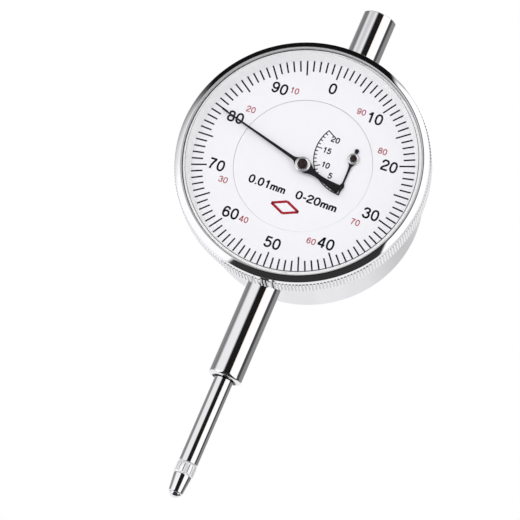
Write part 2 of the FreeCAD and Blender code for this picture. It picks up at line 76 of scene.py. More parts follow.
def node_middle(node):
    low, high = node_box(node)
    return (low + high) / 2


DIAL_Z = node_middle("dial_ring").z
DIAL_Y = node_box("dial_ring")[0].y
INNER_DIAL_LIFT = DIAL_Y - node_box("inner_dial")[0].y
COUNTER_X = node_middle("counter_arbor").x
COUNTER_Z = node_middle("counter_arbor").z - DIAL_Z
CASE_R = node_box("case_body")[1].x
BEZEL_R = node_box("bezel_ring")[1].x
BEZEL_REAR_LIFT = DIAL_Y - node_box("bezel_ring")[1].y
CREST_LIFT = DIAL_Y - node_box("bezel_ring")[0].y
SEAT_R = node_box("crystal_gasket")[1].x
CRYSTAL_R = node_box("crystal")[1].x
CRYSTAL_LIFTS = (DIAL_Y - node_box("crystal")[1].y, DIAL_Y - node_box("crystal")[0].y)
RING_R = node_box("dial_ring")[1].x
SPINDLE_LOW = node_box("spindle")[0].z - DIAL_Z
LONG_HAND_LIFT = DIAL_Y - node_box("long_hand")[1].y
SMALL_HAND_LIFT = DIAL_Y - node_box("small_hand")[1].y

# ---- sizes that only the looks need -------------------------------------------------
CREST_R = 27.65             # bezel
BAND_R = 28.88
BEVEL_FOOT_LIFT = 2.76      # where the smooth band meets the bevel
RECESS_R = 25.6             # bore behind the dial ring
RECESS_LIFTS = (-0.5, -0.7)
CASE_GAP = 0.05             # between the case and the bezel's skirt
CREST_TILT = 0.025          # how far the crest falls from the crystal outwards
KNURL_TOP_LIFT = 1.4
KNURL_COUNT = 232
KNURL_DEPTH = 0.19
STEPS_PER_TOOTH = 5
VALLEY_STEPS = (3, 4)       # the steps of each tooth that lie in its valley

CRYSTAL_EASE = 0.06         # small bevel round the crystal's edge
STEP_OUTER_R = 26.52        # step between the crystal's flange and its raised middle
STEP_INNER_R = 26.38
STEP_DROP = 0.22

REST_TURN = -1.9            # the turning ring's zero stands this far clockwise of the stem
INK_THICK = 0.012
TICK_OUTER_R = 25.44
TICK_INNER_R = 22.83
LONG_TICK_INNER_R = 21.87
TICK_WIDTH = 0.36
NUMERAL_R = 19.6
NUMERAL_HEIGHT = 2.6
NUMERAL_STROKE = 0.175
RED_NUMERAL_R = 18.3
RED_NUMERAL_HEIGHT = 1.45
RED_NUMERAL_STROKE = 0.15

COUNTER_ARC_R = 9.15
COUNTER_STEP = 6.0          # degrees of the small hand for each millimetre
COUNTER_START = 180.0
COUNTER_LINE = 0.25
COUNTER_CHORD = 1.5         # degrees of the arc that one straight piece of its line spans
COUNTER_LABELS = (("20", 4.6, 8.35), ("15", 3.75, 5.3), ("10", 4.75, 1.95), ("5", 6.7, -0.1))
COUNTER_LABEL_HEIGHT = 1.35
COUNTER_LABEL_STROKE = 0.21
SIZE_LABELS = (("0.01mm", -5.9, -6.9, 8.8), ("0-20mm", 6.1, -6.85, 9.8))    # place and length
SIZE_LABEL_HEIGHT = 1.95
SIZE_LABEL_STROKE = 0.2
MARK_Z = -10.7              # the plain mark's height on the dial
MARK_HALF_WIDTH = 3.3
MARK_HALF_HEIGHT = 1.5
MARK_LINE = 0.6

LONG_HAND_TURN = 285.3
LONG_HAND_THICK = 0.16
TAIL_BOW = 0.25             # sideways bow of the long hand's tail
TAIL_BOW_SPAN = 11.5
SMALL_HAND_TURN = 180.0
SMALL_HAND_THICK = 0.14
BLADE_EASE = 0.03           # bevel along a hand's front edges
HUB_STEPS = 64

# ---- the camera's place, from the dial's centre -------------------------------------
CAMERA_AT = Vector((189.417, -843.844, -264.069))
CAMERA_AIM = Vector((-1.759, 6.026, -22.603))
CAMERA_ROLL = 23.419        # degrees; the object leans clockwise in the view
CAMERA_LENS = 276.923
SENSOR = 36.0

# ---- the studio that polished metal mirrors, as parts of a unit direction ------------
STRIP_TOP = 0.62            # the tall dark card: where its left side starts to lean
STRIP_SLANT = 0.565         # how far that side leans to the left lower down
STRIP_LEFT = 0.21           # how far left of the middle that side starts
STRIP_RIGHT = (0.44, 0.47)  # its right side, and where it has faded out
STRIP_LEVELS = (0.012, 0.035)
OVERHEAD_LEVEL = 0.006      # dark card overhead
GROUND_LEVEL = 0.95
ROOM_LEVEL = 0.98           # evenly lit room, for everything that isn't a mirror

# ---- lights and floor ---------------------------------------------------------------
LIGHT_SIZE = 500
FLOOR_R = 6000
FLOOR_Z = -380


# ---- places on the dial -------------------------------------------------------------
def dial_point(x, lift, z):
    return Vector((x, DIAL_Y - lift, DIAL_Z + z))


def clock(radius, degrees):
    """Sideways and upward offsets of a point at a clock angle."""
    turn = math.radians(degrees)
    return radius * math.sin(turn), radius * math.cos(turn)


# ---- mesh helpers -------------------------------------------------------------------
def make_object(name, bm, material, smooth_below=35.0):
    """Turn millimetre geometry into an object, smooth except across sharp edges."""
    bmesh.ops.recalc_face_normals(bm, faces=bm.faces)
    bm.transform(Matrix.Scale(MM, 4))
    limit = math.radians(smooth_below)
    for face in bm.faces:
        face.smooth = True
    for edge in bm.edges:
        if len(edge.link_faces) == 2:
            edge.smooth = edge.calc_face_angle() < limit
    mesh = bpy.data.meshes.new(name)
    bm.to_mesh(mesh)
    bm.free()
    mesh.materials.append(material)
    obj = bpy.data.objects.new(name, mesh)
    bpy.context.scene.collection.objects.link(obj)
    return obj


def place(obj, body, slot, *replaced):
    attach(obj, body)
    if replaced:
        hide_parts(*replaced)
    return obj


def rounded(points, radius, closed):
    """Replace each corner of an outline by a short curve that starts `radius` from it."""
    steps = 4
    result = []
    count = len(points)
    for i, point in enumerate(points):
        corner = Vector(point)
        if not closed and i in (0, count - 1):
            result.append(corner)
            continue
        before = Vector(points[i - 1]) - corner
        after = Vector(points[(i + 1) % count]) - corner
        cut = min(radius, 0.45 * before.length, 0.45 * after.length)
        start = corner + before.normalized() * cut
        end = corner + after.normalized() * cut
        for k in range(steps + 1):
            t = k / steps
            result.append(start * (1 - t) ** 2 + corner * 2 * t * (1 - t) + end * t ** 2)
    return result


def curve_through(points, steps=6):
    """Catmull-Rom curve through a few points."""
    result = []
    for i in range(len(points) - 1):
        p0 = Vector(points[max(i - 1, 0)])
        p1, p2 = Vector(points[i]), Vector(points[i + 1])
        p3 = Vector(points[min(i + 2, len(points) - 1)])
        for k in range(steps):
            t = k / steps
            result.append(0.5 * (2 * p1 + (p2 - p0) * t + (2 * p0 - 5 * p1 + 4 * p2 - p3) * t * t
                                 + (3 * p1 - p0 - 3 * p2 + p3) * t ** 3))
    result.append(Vector(points[-1]))
    return result


def about_dial(x=0.0, z=0.0):
    """Turns (radius, lift, angle) into a point around an axis square to the dial."""
    return lambda r, lift, turn: dial_point(x + r * math.sin(turn), lift, z + r * math.cos(turn))


def about_spindle(r, z, turn):
    return Vector((r * math.cos(turn), r * math.sin(turn), DIAL_Z + z))


def lathe(profile, to_point, steps, closed=True, radius_at=None):
    """Revolve (radius, height) points.  radius_at(row, step, radius) may shape teeth."""
    bm = bmesh.new()
    rows = []
    for row, (radius, height) in enumerate(profile):
        if radius < 1e-6:
            rows.append([bm.verts.new(to_point(0.0, height, 0.0))])
            continue
        ring = []
        for step in range(steps):
            r = radius_at(row, step, radius) if radius_at else radius
            ring.append(bm.verts.new(to_point(r, height, 2 * math.pi * step / steps)))
        rows.append(ring)
    pairs = list(zip(rows, rows[1:]))
    if closed:
        pairs.append((rows[-1], rows[0]))
    for first, second in pairs:
        for step in range(steps):
            after = (step + 1) % steps
            if len(first) == 1:
                bm.faces.new((first[0], second[after], second[step]))
            elif len(second) == 1:
                bm.faces.new((first[step], first[after], second[0]))
            else:
                bm.faces.new((first[step], first[after], second[after], second[step]))
    return bm


def blade(outline, lift, thick):
    """Flat plate of (right, up) points, standing `thick` above `lift`, with eased edges."""
    bm = bmesh.new()
    back = [bm.verts.new(dial_point(x, lift, z)) for x, z in outline]
    front = [bm.verts.new(dial_point(x, lift + thick, z)) for x, z in outline]
    bm.faces.new(back)
    top = bm.faces.new(front)
    count = len(outline)
    for i in range(count):
        j = (i + 1) % count
        bm.faces.new((back[i], back[j], front[j], front[i]))
    bmesh.ops.bevel(bm, geom=list(top.edges), offset=BLADE_EASE, segments=2, affect="EDGES")
    return bm


def ink_box(bm, centre, along, across, length, width, lift):
    """One printed line, as a thin raised bar."""
    corners = []
    for depth in (0.0, INK_THICK):
        for u, v in ((-1, -1), (1, -1), (1, 1), (-1, 1)):
            x = centre[0] + along[0] * u * length / 2 + across[0] * v * width / 2
            z = centre[1] + along[1] * u * length / 2 + across[1] * v * width / 2
            corners.append(bm.verts.new(dial_point(x, lift + depth, z)))
    bm.faces.new(corners[:4])
    bm.faces.new(corners[4:])
    for i in range(4):
        j = (i + 1) % 4
        bm.faces.new((corners[i], corners[j], corners[4 + j], corners[4 + i]))


def radial_line(bm, outer, inner, degrees, width, lift, x=0.0, z=0.0):
    along = clock(1.0, degrees)
    across = clock(1.0, degrees + 90)
    middle = (outer + inner) / 2
    centre = (x + along[0] * middle, z + along[1] * middle)
    ink_box(bm, centre, along, across, outer - inner, width, lift)


# Printed characters: centre-lines on a body one unit high, drawn with an even stroke.
# "curve" strokes are smoothed through their points, "line" strokes keep their corners.
SIX = ("curve", [(0.56, 0.74), (0.50, 0.87), (0.36, 0.935), (0.22, 0.89), (0.12, 0.74), (0.085, 0.55),
                 (0.085, 0.36), (0.12, 0.20), (0.20, 0.10), (0.33, 0.065), (0.47, 0.105), (0.565, 0.22),
                 (0.575, 0.36), (0.51, 0.51), (0.39, 0.58), (0.26, 0.575), (0.15, 0.50), (0.09, 0.38)])
GLYPHS = {
    "0": (0.77, [("oval", [(0.33, 0.5), (0.26, 0.435)])]),
    "1": (0.77, [("line", [(0.40, 0.0), (0.40, 1.0)]),
                 ("curve", [(0.13, 0.735), (0.25, 0.765), (0.33, 0.84), (0.37, 0.97)])]),
    "2": (0.77, [("curve", [(0.085, 0.66), (0.10, 0.80), (0.20, 0.91), (0.33, 0.935), (0.47, 0.90),
                            (0.565, 0.79), (0.565, 0.66), (0.50, 0.55), (0.36, 0.44), (0.20, 0.32),
                            (0.10, 0.19), (0.08, 0.07)]),
                 ("line", [(0.02, 0.065), (0.63, 0.065)])]),
    "3": (0.77, [("curve", [(0.085, 0.72), (0.12, 0.84), (0.22, 0.92), (0.33, 0.935), (0.46, 0.905),
                            (0.54, 0.81), (0.535, 0.67), (0.45, 0.575), (0.29, 0.54)]),
                 ("curve", [(0.29, 0.54), (0.47, 0.51), (0.57, 0.40), (0.575, 0.26), (0.49, 0.12),
                            (0.33, 0.065), (0.18, 0.10), (0.09, 0.20), (0.07, 0.30)])]),
    "4": (0.77, [("line", [(0.435, 0.96), (0.06, 0.285)]), ("line", [(0.02, 0.27), (0.64, 0.27)]),
                 ("line", [(0.47, 0.0), (0.47, 1.0)])]),
    "5": (0.77, [("line", [(0.13, 0.935), (0.58, 0.935)]), ("line", [(0.175, 0.96), (0.12, 0.49)]),
                 ("curve", [(0.115, 0.50), (0.20, 0.58), (0.34, 0.62), (0.48, 0.57), (0.57, 0.46),
                            (0.58, 0.31), (0.51, 0.15), (0.38, 0.075), (0.25, 0.07), (0.13, 0.13),
                            (0.075, 0.26)])]),
    "6": (0.77, [SIX]),
    "7": (0.77, [("line", [(0.04, 0.935), (0.62, 0.935)]),
                 ("curve", [(0.57, 0.92), (0.44, 0.72), (0.33, 0.48), (0.26, 0.24), (0.235, 0.0)])]),
    "8": (0.77, [("oval", [(0.33, 0.735), (0.215, 0.20)]), ("oval", [(0.33, 0.30), (0.255, 0.235)])]),
    "9": (0.77, [("curve", [(0.66 - x, 1.0 - z) for x, z in SIX[1]])]),
    "m": (0.90, [("line", [(0.08, 0.0), (0.08, 0.64)]),
                 ("curve", [(0.08, 0.42), (0.15, 0.55), (0.27, 0.585), (0.375, 0.54), (0.41, 0.41)]),
                 ("line", [(0.41, 0.43), (0.41, 0.0)]),
                 ("curve", [(0.41, 0.42), (0.48, 0.55), (0.60, 0.585), (0.705, 0.54), (0.74, 0.41)]),
                 ("line", [(0.74, 0.43), (0.74, 0.0)])]),
    ".": (0.32, [("line", [(0.14, 0.0), (0.14, 0.15)])]),
    "-": (0.47, [("line", [(0.03, 0.37), (0.38, 0.37)])]),
}
GLYPH_GAP = 0.11            # advance beyond the ink of a figure


def stroke_points(kind, points):
    """Centre-line points of a stroke, and whether it closes on itself."""
    if kind == "line":
        return [Vector(p) for p in points], False
    if kind == "curve":
        return curve_through(points, 4), False
    centre, radii = points
    loop = []
    for i in range(40):
        turn = 2 * math.pi * i / 40
        across, up = math.cos(turn), math.sin(turn)
        loop.append(Vector((centre[0] + radii[0] * math.copysign(abs(across) ** 0.88, across),
                            centre[1] + radii[1] * math.copysign(abs(up) ** 0.88, up))))
    return loop, True


def ribbon(bm, points, closed, half, to_dial, lift):
    """Flat band of even width along a centre-line, raised by the thickness of the ink."""
    count = len(points)
    rows = []
    for i, point in enumerate(points):
        before = points[i - 1] if closed or i else point
        after = points[(i + 1) % count] if closed or i < count - 1 else point
        first = (point - before).normalized() if point != before else None
        second = (after - point).normalized() if point != after else None
        along = ((first or second) + (second or first)).normalized()
        side = Vector((-along.y, along.x))
        spread = half / max(0.5, along.dot(first or second))
        row = []
        for sign in (1, -1):
            x, z = to_dial(point + side * spread * sign)
            row += [bm.verts.new(dial_point(x, lift, z)), bm.verts.new(dial_point(x, lift + INK_THICK, z))]
        rows.append(row)
    pairs = list(zip(rows, rows[1:])) + ([(rows[-1], rows[0])] if closed else [])
    for first, second in pairs:
        for a, b in ((0, 1), (1, 3), (3, 2), (2, 0)):
            bm.faces.new((first[a], first[b], second[b], second[a]))
    if not closed:
        for row in (rows[0], rows[-1]):
            bm.faces.new((row[0], row[1], row[3], row[2]))


def add_lettering(bm, text, height, centre, lift, stroke, turn=0.0, width=None):
    """Add printed characters, centred on a place on the dial.

    stroke is a share of the body's height; turn is clockwise; width, if given, sets the
    whole line's length.
    """
    length = sum(GLYPHS[letter][0] for letter in text) - GLYPH_GAP
    stretch = width / length if width else height
    cos_t, sin_t = math.cos(math.radians(turn)), math.sin(math.radians(turn))
    start = -length / 2
    for letter in text:
        advance, strokes = GLYPHS[letter]

        def to_dial(point, start=start):
            u, w = (start + point.x) * stretch, (point.y - 0.5) * height
            return centre[0] + u * cos_t + w * sin_t, centre[1] - u * sin_t + w * cos_t

        for kind, points in strokes:
            line, closed = stroke_points(kind, points)
            ribbon(bm, line, closed, stroke / 2, to_dial, lift)
        start += advance


# ---- materials ----------------------------------------------------------------------
class Graph:
    """A few short calls for building a node tree."""

    def __init__(self, tree):
        self.tree = tree
        tree.nodes.clear()

    def add(self, kind, settings=None, **inputs):
        node = self.tree.nodes.new(kind)
        for key, value in (settings or {}).items():
            setattr(node, key, value)
        for key, value in inputs.items():
            self.feed(node, key.replace("_", " "), value)
        return node

    def feed(self, node, key, value):
        socket = node.inputs[int(key)] if key.isdigit() else node.inputs[key]
        if isinstance(value, bpy.types.NodeSocket):
            self.tree.links.new(value, socket)
        else:
            socket.default_value = value

    def math(self, operation, first, second=0.0):
        node = self.add("ShaderNodeMath", {"operation": operation})
        self.feed(node, "0", first)
        self.feed(node, "1", second)
        return node.outputs[0]

    def remap(self, value, from_low, from_high, to_low=0.0, to_high=1.0, smooth=False):
        node = self.add("ShaderNodeMapRange", {"interpolation_type": "SMOOTHSTEP" if smooth else "LINEAR"})
        for key, number in (("From Min", from_low), ("From Max", from_high),
                            ("To Min", to_low), ("To Max", to_high)):
            node.inputs[key].default_value = number
        self.feed(node, "Value", value)
        return node.outputs["Result"]

    def mix(self, mask, base, over):
        """Number that is `base` where the mask is 0 and `over` where it is 1."""
        node = self.add("ShaderNodeMix", {"data_type": "FLOAT"})
        self.feed(node, "0", mask)
        self.feed(node, "2", base)
        self.feed(node, "3", over)
        return node.outputs[0]

    def mix_colour(self, mask, base, over):
        node = self.add("ShaderNodeMix", {"data_type": "RGBA"})
        self.feed(node, "0", mask)
        self.feed(node, "6", base)
        self.feed(node, "7", over)
        return node.outputs[2]

    def noise(self, size, stretch=(1, 1, 1), detail=3.0):
        """Noise whose features are about `size` millimetres across."""
        coordinate = self.add("ShaderNodeTexCoord")
        scale = self.add("ShaderNodeMapping", Scale=Vector(stretch))
        self.feed(scale, "Vector", coordinate.outputs["Object"])
        node = self.add("ShaderNodeTexNoise", Scale=1 / (size * MM), Detail=detail)
        self.feed(node, "Vector", scale.outputs["Vector"])
        return node.outputs["Fac"]


def finish_material(name, colour, metallic, roughness, grain, tint, rough_spread,
                    stretch=(1, 1, 1), bump=0.0, coat=0.0, smudge_and_sheen=1.5,
                    smudge_and_sheen_stretch=(1, 1, 1), specular=0.5):
    """Surface with fine grain, broad faint colour variation and uneven polish.

    grain and the size of the broad variation are in millimetres; tint and rough_spread say how far colour and
    roughness vary.  The broad variation is random tone, and where it is drawn out into long streaks it is
    painted sheen.
    """
    mat = bpy.data.materials.new(name)
    mat.use_nodes = True
    graph = Graph(mat.node_tree)
    out = graph.add("ShaderNodeOutputMaterial")
    shader = graph.add("ShaderNodeBsdfPrincipled", Metallic=metallic)
    shader.inputs["Coat Weight"].default_value = coat
    shader.inputs["Specular IOR Level"].default_value = specular
    graph.feed(out, "Surface", shader.outputs[0])
    fine = graph.noise(grain, stretch)
    # broad faint colour variation: random tone, and painted sheen where it is drawn out into streaks
    broad = graph.noise(smudge_and_sheen, smudge_and_sheen_stretch, 2.0)
    shade = graph.math("MULTIPLY", graph.math("ADD", fine, broad), 0.5)
    ramp = graph.add("ShaderNodeValToRGB")
    darker = [c * (1 - tint) for c in colour]
    lighter = [min(1.0, c * (1 + tint)) for c in colour]
    ramp.color_ramp.elements[0].position = 0.35
    ramp.color_ramp.elements[0].color = (*darker, 1)
    ramp.color_ramp.elements[1].position = 0.65
    ramp.color_ramp.elements[1].color = (*lighter, 1)
    graph.feed(ramp, "Fac", shade)
    graph.feed(shader, "Base Color", ramp.outputs["Color"])
    rough = graph.remap(shade, 0.3, 0.7, max(0.0, roughness - rough_spread), roughness + rough_spread)
    graph.feed(shader, "Roughness", rough)
    if bump:
        relief = graph.add("ShaderNodeBump", Strength=bump, Distance=0.01 * MM)
        graph.feed(relief, "Height", fine)
        graph.feed(shader, "Normal", relief.outputs["Normal"])
    return mat


def crystal_material():
    """Clear crystal: see-through, with reflections that grow towards a glancing view."""
    mat = bpy.data.materials.new("crystal_clear")
    mat.use_nodes = True
    graph = Graph(mat.node_tree)
    out = graph.add("ShaderNodeOutputMaterial")
    clear = graph.add("ShaderNodeBsdfTransparent", Color=(0.99, 0.99, 0.99, 1))
    gloss = graph.add("ShaderNodeBsdfGlossy", Color=(1, 1, 1, 1))
    haze = graph.noise(3.0, detail=2.0)
    graph.feed(gloss, "Roughness", graph.remap(haze, 0.3, 0.7, 0.01, 0.05))
    edge = graph.add("ShaderNodeFresnel", IOR=1.25)
    leaving = graph.add("ShaderNodeNewGeometry").outputs["Backfacing"]
    entering = graph.math("SUBTRACT", 1.0, leaving)
    both = graph.add("ShaderNodeMixShader")
    graph.feed(both, "0", graph.math("MULTIPLY", edge.outputs[0], entering))
    graph.feed(both, "1", clear.outputs[0])
    graph.feed(both, "2", gloss.outputs[0])
    graph.feed(out, "Surface", both.outputs[0])
    return mat


BRUSHED_ROUND = (1, 6, 1)
ALONG_SPINDLE = (4, 4, 0.5)
FINISHES = {
    "chrome": dict(colour=(0.90, 0.90, 0.91), metallic=1.0, roughness=0.045, grain=0.06,
                   stretch=ALONG_SPINDLE, tint=0.015, rough_spread=0.02, bump=0.04),
    "bezel_chrome": dict(colour=(0.90, 0.90, 0.91), metallic=1.0, roughness=0.045, grain=0.08,
                         stretch=BRUSHED_ROUND, tint=0.02, rough_spread=0.02, bump=0.05),
    # darker and duller than the bezel's chrome: painted shade down in the knurl's grooves
    "knurl_groove_painted_shade": dict(colour=(0.84, 0.84, 0.85), metallic=0.6, roughness=0.45, grain=0.06,
                         tint=0.06, rough_spread=0.05, bump=0.1),
    # the broad tinted noise, drawn into long streaks along the case's axis, is painted sheen; the fine
    # stretched grain is the case's own brushing
    "satin_case": dict(colour=(0.86, 0.86, 0.87), metallic=1.0, roughness=0.33, grain=0.08,
                       stretch=(1, 0.12, 1), tint=0.09, rough_spread=0.06, bump=0.03,
                       smudge_and_sheen=6.0, smudge_and_sheen_stretch=(1, 0.05, 1)),
    "collar_satin": dict(colour=(0.95, 0.95, 0.95), metallic=0.5, roughness=0.38, grain=0.05,
                         stretch=(1, 1, 0.3), tint=0.03, rough_spread=0.06, bump=0.1),
    "brass": dict(colour=(0.78, 0.58, 0.26), metallic=1.0, roughness=0.3, grain=0.06,
                  stretch=BRUSHED_ROUND, tint=0.08, rough_spread=0.08, bump=0.2),
    "bronze": dict(colour=(0.30, 0.22, 0.16), metallic=1.0, roughness=0.38, grain=0.06,
                   stretch=(1, 1, 4), tint=0.1, rough_spread=0.08, bump=0.2),
    "steel": dict(colour=(0.56, 0.57, 0.59), metallic=1.0, roughness=0.28, grain=0.05,
                  stretch=(3, 1, 1), tint=0.06, rough_spread=0.08, bump=0.2),
    "spring_steel": dict(colour=(0.45, 0.46, 0.50), metallic=1.0, roughness=0.3, grain=0.04,
                         tint=0.08, rough_spread=0.08, bump=0.1),
    "ball_steel": dict(colour=(0.88, 0.88, 0.90), metallic=1.0, roughness=0.05, grain=0.1,
                       tint=0.01, rough_spread=0.02),
    "seal_rubber": dict(colour=(0.03, 0.03, 0.03), metallic=0.0, roughness=0.7, grain=0.05,
                        tint=0.2, rough_spread=0.1, bump=0.3),
    "jewel": dict(colour=(0.55, 0.03, 0.08), metallic=0.0, roughness=0.08, grain=0.1,
                  tint=0.1, rough_spread=0.03, coat=0.5),
    "dial_white": dict(colour=(0.832, 0.832, 0.856), metallic=0.0, roughness=0.5, grain=0.05,
                       tint=0.008, rough_spread=0.05, bump=0.05, specular=0.3),
    "rehaut_white": dict(colour=(0.96, 0.96, 0.955), metallic=0.0, roughness=0.4, grain=0.05,
                         stretch=(1, 4, 1), tint=0.012, rough_spread=0.05, bump=0.05),
    # gasket_white is given a mid grey: painted shade for the dark line round the crystal's seat
    "gasket_white": dict(colour=(0.42, 0.42, 0.43), metallic=0.0, roughness=0.35, grain=0.08,
                         tint=0.03, rough_spread=0.05, bump=0.05),
    "hand_black": dict(colour=(0.008, 0.008, 0.010), metallic=0.0, roughness=0.3, grain=0.05,
                       tint=0.3, rough_spread=0.08, bump=0.1, specular=0.2),
    "hub_metal": dict(colour=(0.93, 0.93, 0.94), metallic=0.75, roughness=0.2, grain=0.04,
                      stretch=(1, 5, 1), tint=0.03, rough_spread=0.05, bump=0.08),
    "hub_dark": dict(colour=(0.022, 0.012, 0.010), metallic=0.3, roughness=0.25, grain=0.04,
                     stretch=(1, 5, 1), tint=0.3, rough_spread=0.08, bump=0.1),
    "black_ink": dict(colour=(0.006, 0.006, 0.008), metallic=0.0, roughness=0.55, grain=0.04,
                      tint=0.3, rough_spread=0.06, bump=0.1, specular=0.1),
    "red_ink": dict(colour=(0.36, 0.012, 0.03), metallic=0.0, roughness=0.55, grain=0.04,
                    tint=0.08, rough_spread=0.06, bump=0.1, specular=0.15),
    # dark grey for the crystal's wall and step: painted shade for how a glass edge looks dark
    "crystal_edge_painted_dark": dict(colour=(0.10, 0.10, 0.105), metallic=0.0, roughness=0.25, grain=0.05,
                         stretch=(1, 4, 1), tint=0.15, rough_spread=0.08, bump=0.1),
}


def make_materials():
    made = {name: finish_material(name, **look) for name, look in FINISHES.items()}
    made["crystal_clear"] = crystal_material()
    return made


# ---- bezel and crystal --------------------------------------------------------------
def bezel_profile():
    """Section of the bezel, and which of its rows carry the knurl."""
    rear = BEZEL_REAR_LIFT
    root_r = BEZEL_R - KNURL_DEPTH
    skirt = [(CASE_R + CASE_GAP, rear), (root_r - 0.1, rear), (root_r, rear + 0.12)]
    rim = [(BEZEL_R, rear + 0.3), (BEZEL_R, KNURL_TOP_LIFT - 0.18)]
    front = [(root_r, KNURL_TOP_LIFT), (BAND_R, KNURL_TOP_LIFT + 0.1), (BAND_R, BEVEL_FOOT_LIFT),
             (CREST_R, CREST_LIFT - CREST_TILT), (SEAT_R, CREST_LIFT), (SEAT_R, CRYSTAL_LIFTS[0]),
             (RING_R, CRYSTAL_LIFTS[0]), (RING_R, RECESS_LIFTS[0]), (RECESS_R, RECESS_LIFTS[0]),
             (RECESS_R, RECESS_LIFTS[1]), (CASE_R + CASE_GAP, RECESS_LIFTS[1])]
    profile = [Vector(p) for p in skirt + rim] + rounded(front, 0.07, closed=False)
    return profile, (len(skirt), len(skirt) + 1)


def make_bezel(mats):
    """Ring with a fine straight knurl round its rim, a smooth band and a bright bevel."""
    profile, toothed_rows = bezel_profile()

    def tooth_radius(row, step, radius):
        in_valley = step % STEPS_PER_TOOTH in VALLEY_STEPS
        return radius - KNURL_DEPTH if row in toothed_rows and in_valley else radius

    bm = lathe(profile, about_dial(), KNURL_COUNT * STEPS_PER_TOOTH, True, tooth_radius)
    # Faces down in the knurl's grooves take a darker, duller finish: painted shade in the grooves.
    groove_floor_r = BEZEL_R - KNURL_DEPTH - 0.05
    groove_top_r = BEZEL_R - 0.4 * KNURL_DEPTH
    for face in bm.faces:
        middle = face.calc_center_median()
        radius = math.hypot(middle.x, middle.z - DIAL_Z)
        between_rims = BEZEL_REAR_LIFT + 0.2 < DIAL_Y - middle.y < KNURL_TOP_LIFT - 0.1
        if between_rims and groove_floor_r < radius < groove_top_r:
            face.material_index = 1
    ring = make_object("bezel_ring_knurled", bm, mats["bezel_chrome"], 25.0)
    ring.data.materials.append(mats["knurl_groove_painted_shade"])
    place(ring, "bezel", "bezel_chrome", "bezel_ring")


def make_crystal(mats):
    """Clear disc with a lower flange round it; its wall and its step are painted dark, a painted shade for
    the dark look of a glass edge.
    """
    low, high = CRYSTAL_LIFTS
    flange = high - STEP_DROP
    rim_r = CRYSTAL_R - CRYSTAL_EASE
    under = [(0, low), (rim_r, low), (CRYSTAL_R, low + CRYSTAL_EASE)]
    wall = [(CRYSTAL_R, flange - CRYSTAL_EASE), (rim_r, flange)]
    top = [(STEP_OUTER_R, flange), (STEP_INNER_R, high), (0, high)]
    bm = lathe(under + wall + top, about_dial(), 256, closed=False)
    for face in bm.faces:
        middle = face.calc_center_median()
        radius = math.hypot(middle.x, middle.z - DIAL_Z)
        on_step = STEP_INNER_R < radius < STEP_OUTER_R and DIAL_Y - middle.y > flange
        if on_step or radius > rim_r:
            face.material_index = 1
    disc = make_object("crystal_disc", bm, mats["crystal_clear"])
    disc.data.materials.append(mats["crystal_edge_painted_dark"])
    place(disc, "bezel", "crystal_clear", "crystal")


# ---- printed dial -------------------------------------------------------------------
def make_ring_print(mats):
    """The hundred divisions and their numbers, which turn with the bezel."""
    ticks = bmesh.new()
    for i in range(100):
        inner = LONG_TICK_INNER_R if i % 5 == 0 else TICK_INNER_R
        radial_line(ticks, TICK_OUTER_R, inner, i * 3.6 + REST_TURN, TICK_WIDTH, 0.0)
    place(make_object("dial_divisions", ticks, mats["black_ink"]), "bezel", "dial_white")

    numbers = bmesh.new()
    for tens in range(10):
        centre = clock(NUMERAL_R, tens * 36 + REST_TURN)
        add_lettering(numbers, str(tens * 10), NUMERAL_HEIGHT, centre, 0.0, NUMERAL_STROKE, REST_TURN)
    place(make_object("dial_numbers", numbers, mats["black_ink"]), "bezel", "dial_white")

    reverse = bmesh.new()
    for tens in (1, 2, 3, 4, 6, 7, 8, 9):
        angle = -36 * tens
        nearer_pole = 0 if math.cos(math.radians(angle)) > 0 else 180
        towards = 1 if math.sin(math.radians(nearer_pole - angle)) > 0 else -1
        gap = 9.6 if abs(math.sin(math.radians(angle))) < 0.7 else 11.3
        centre = clock(RED_NUMERAL_R, angle + towards * gap + REST_TURN)
        add_lettering(reverse, str(tens * 10), RED_NUMERAL_HEIGHT, centre, 0.0, RED_NUMERAL_STROKE,
                      REST_TURN)
    place(make_object("dial_reverse_numbers", reverse, mats["red_ink"]), "bezel", "dial_white")


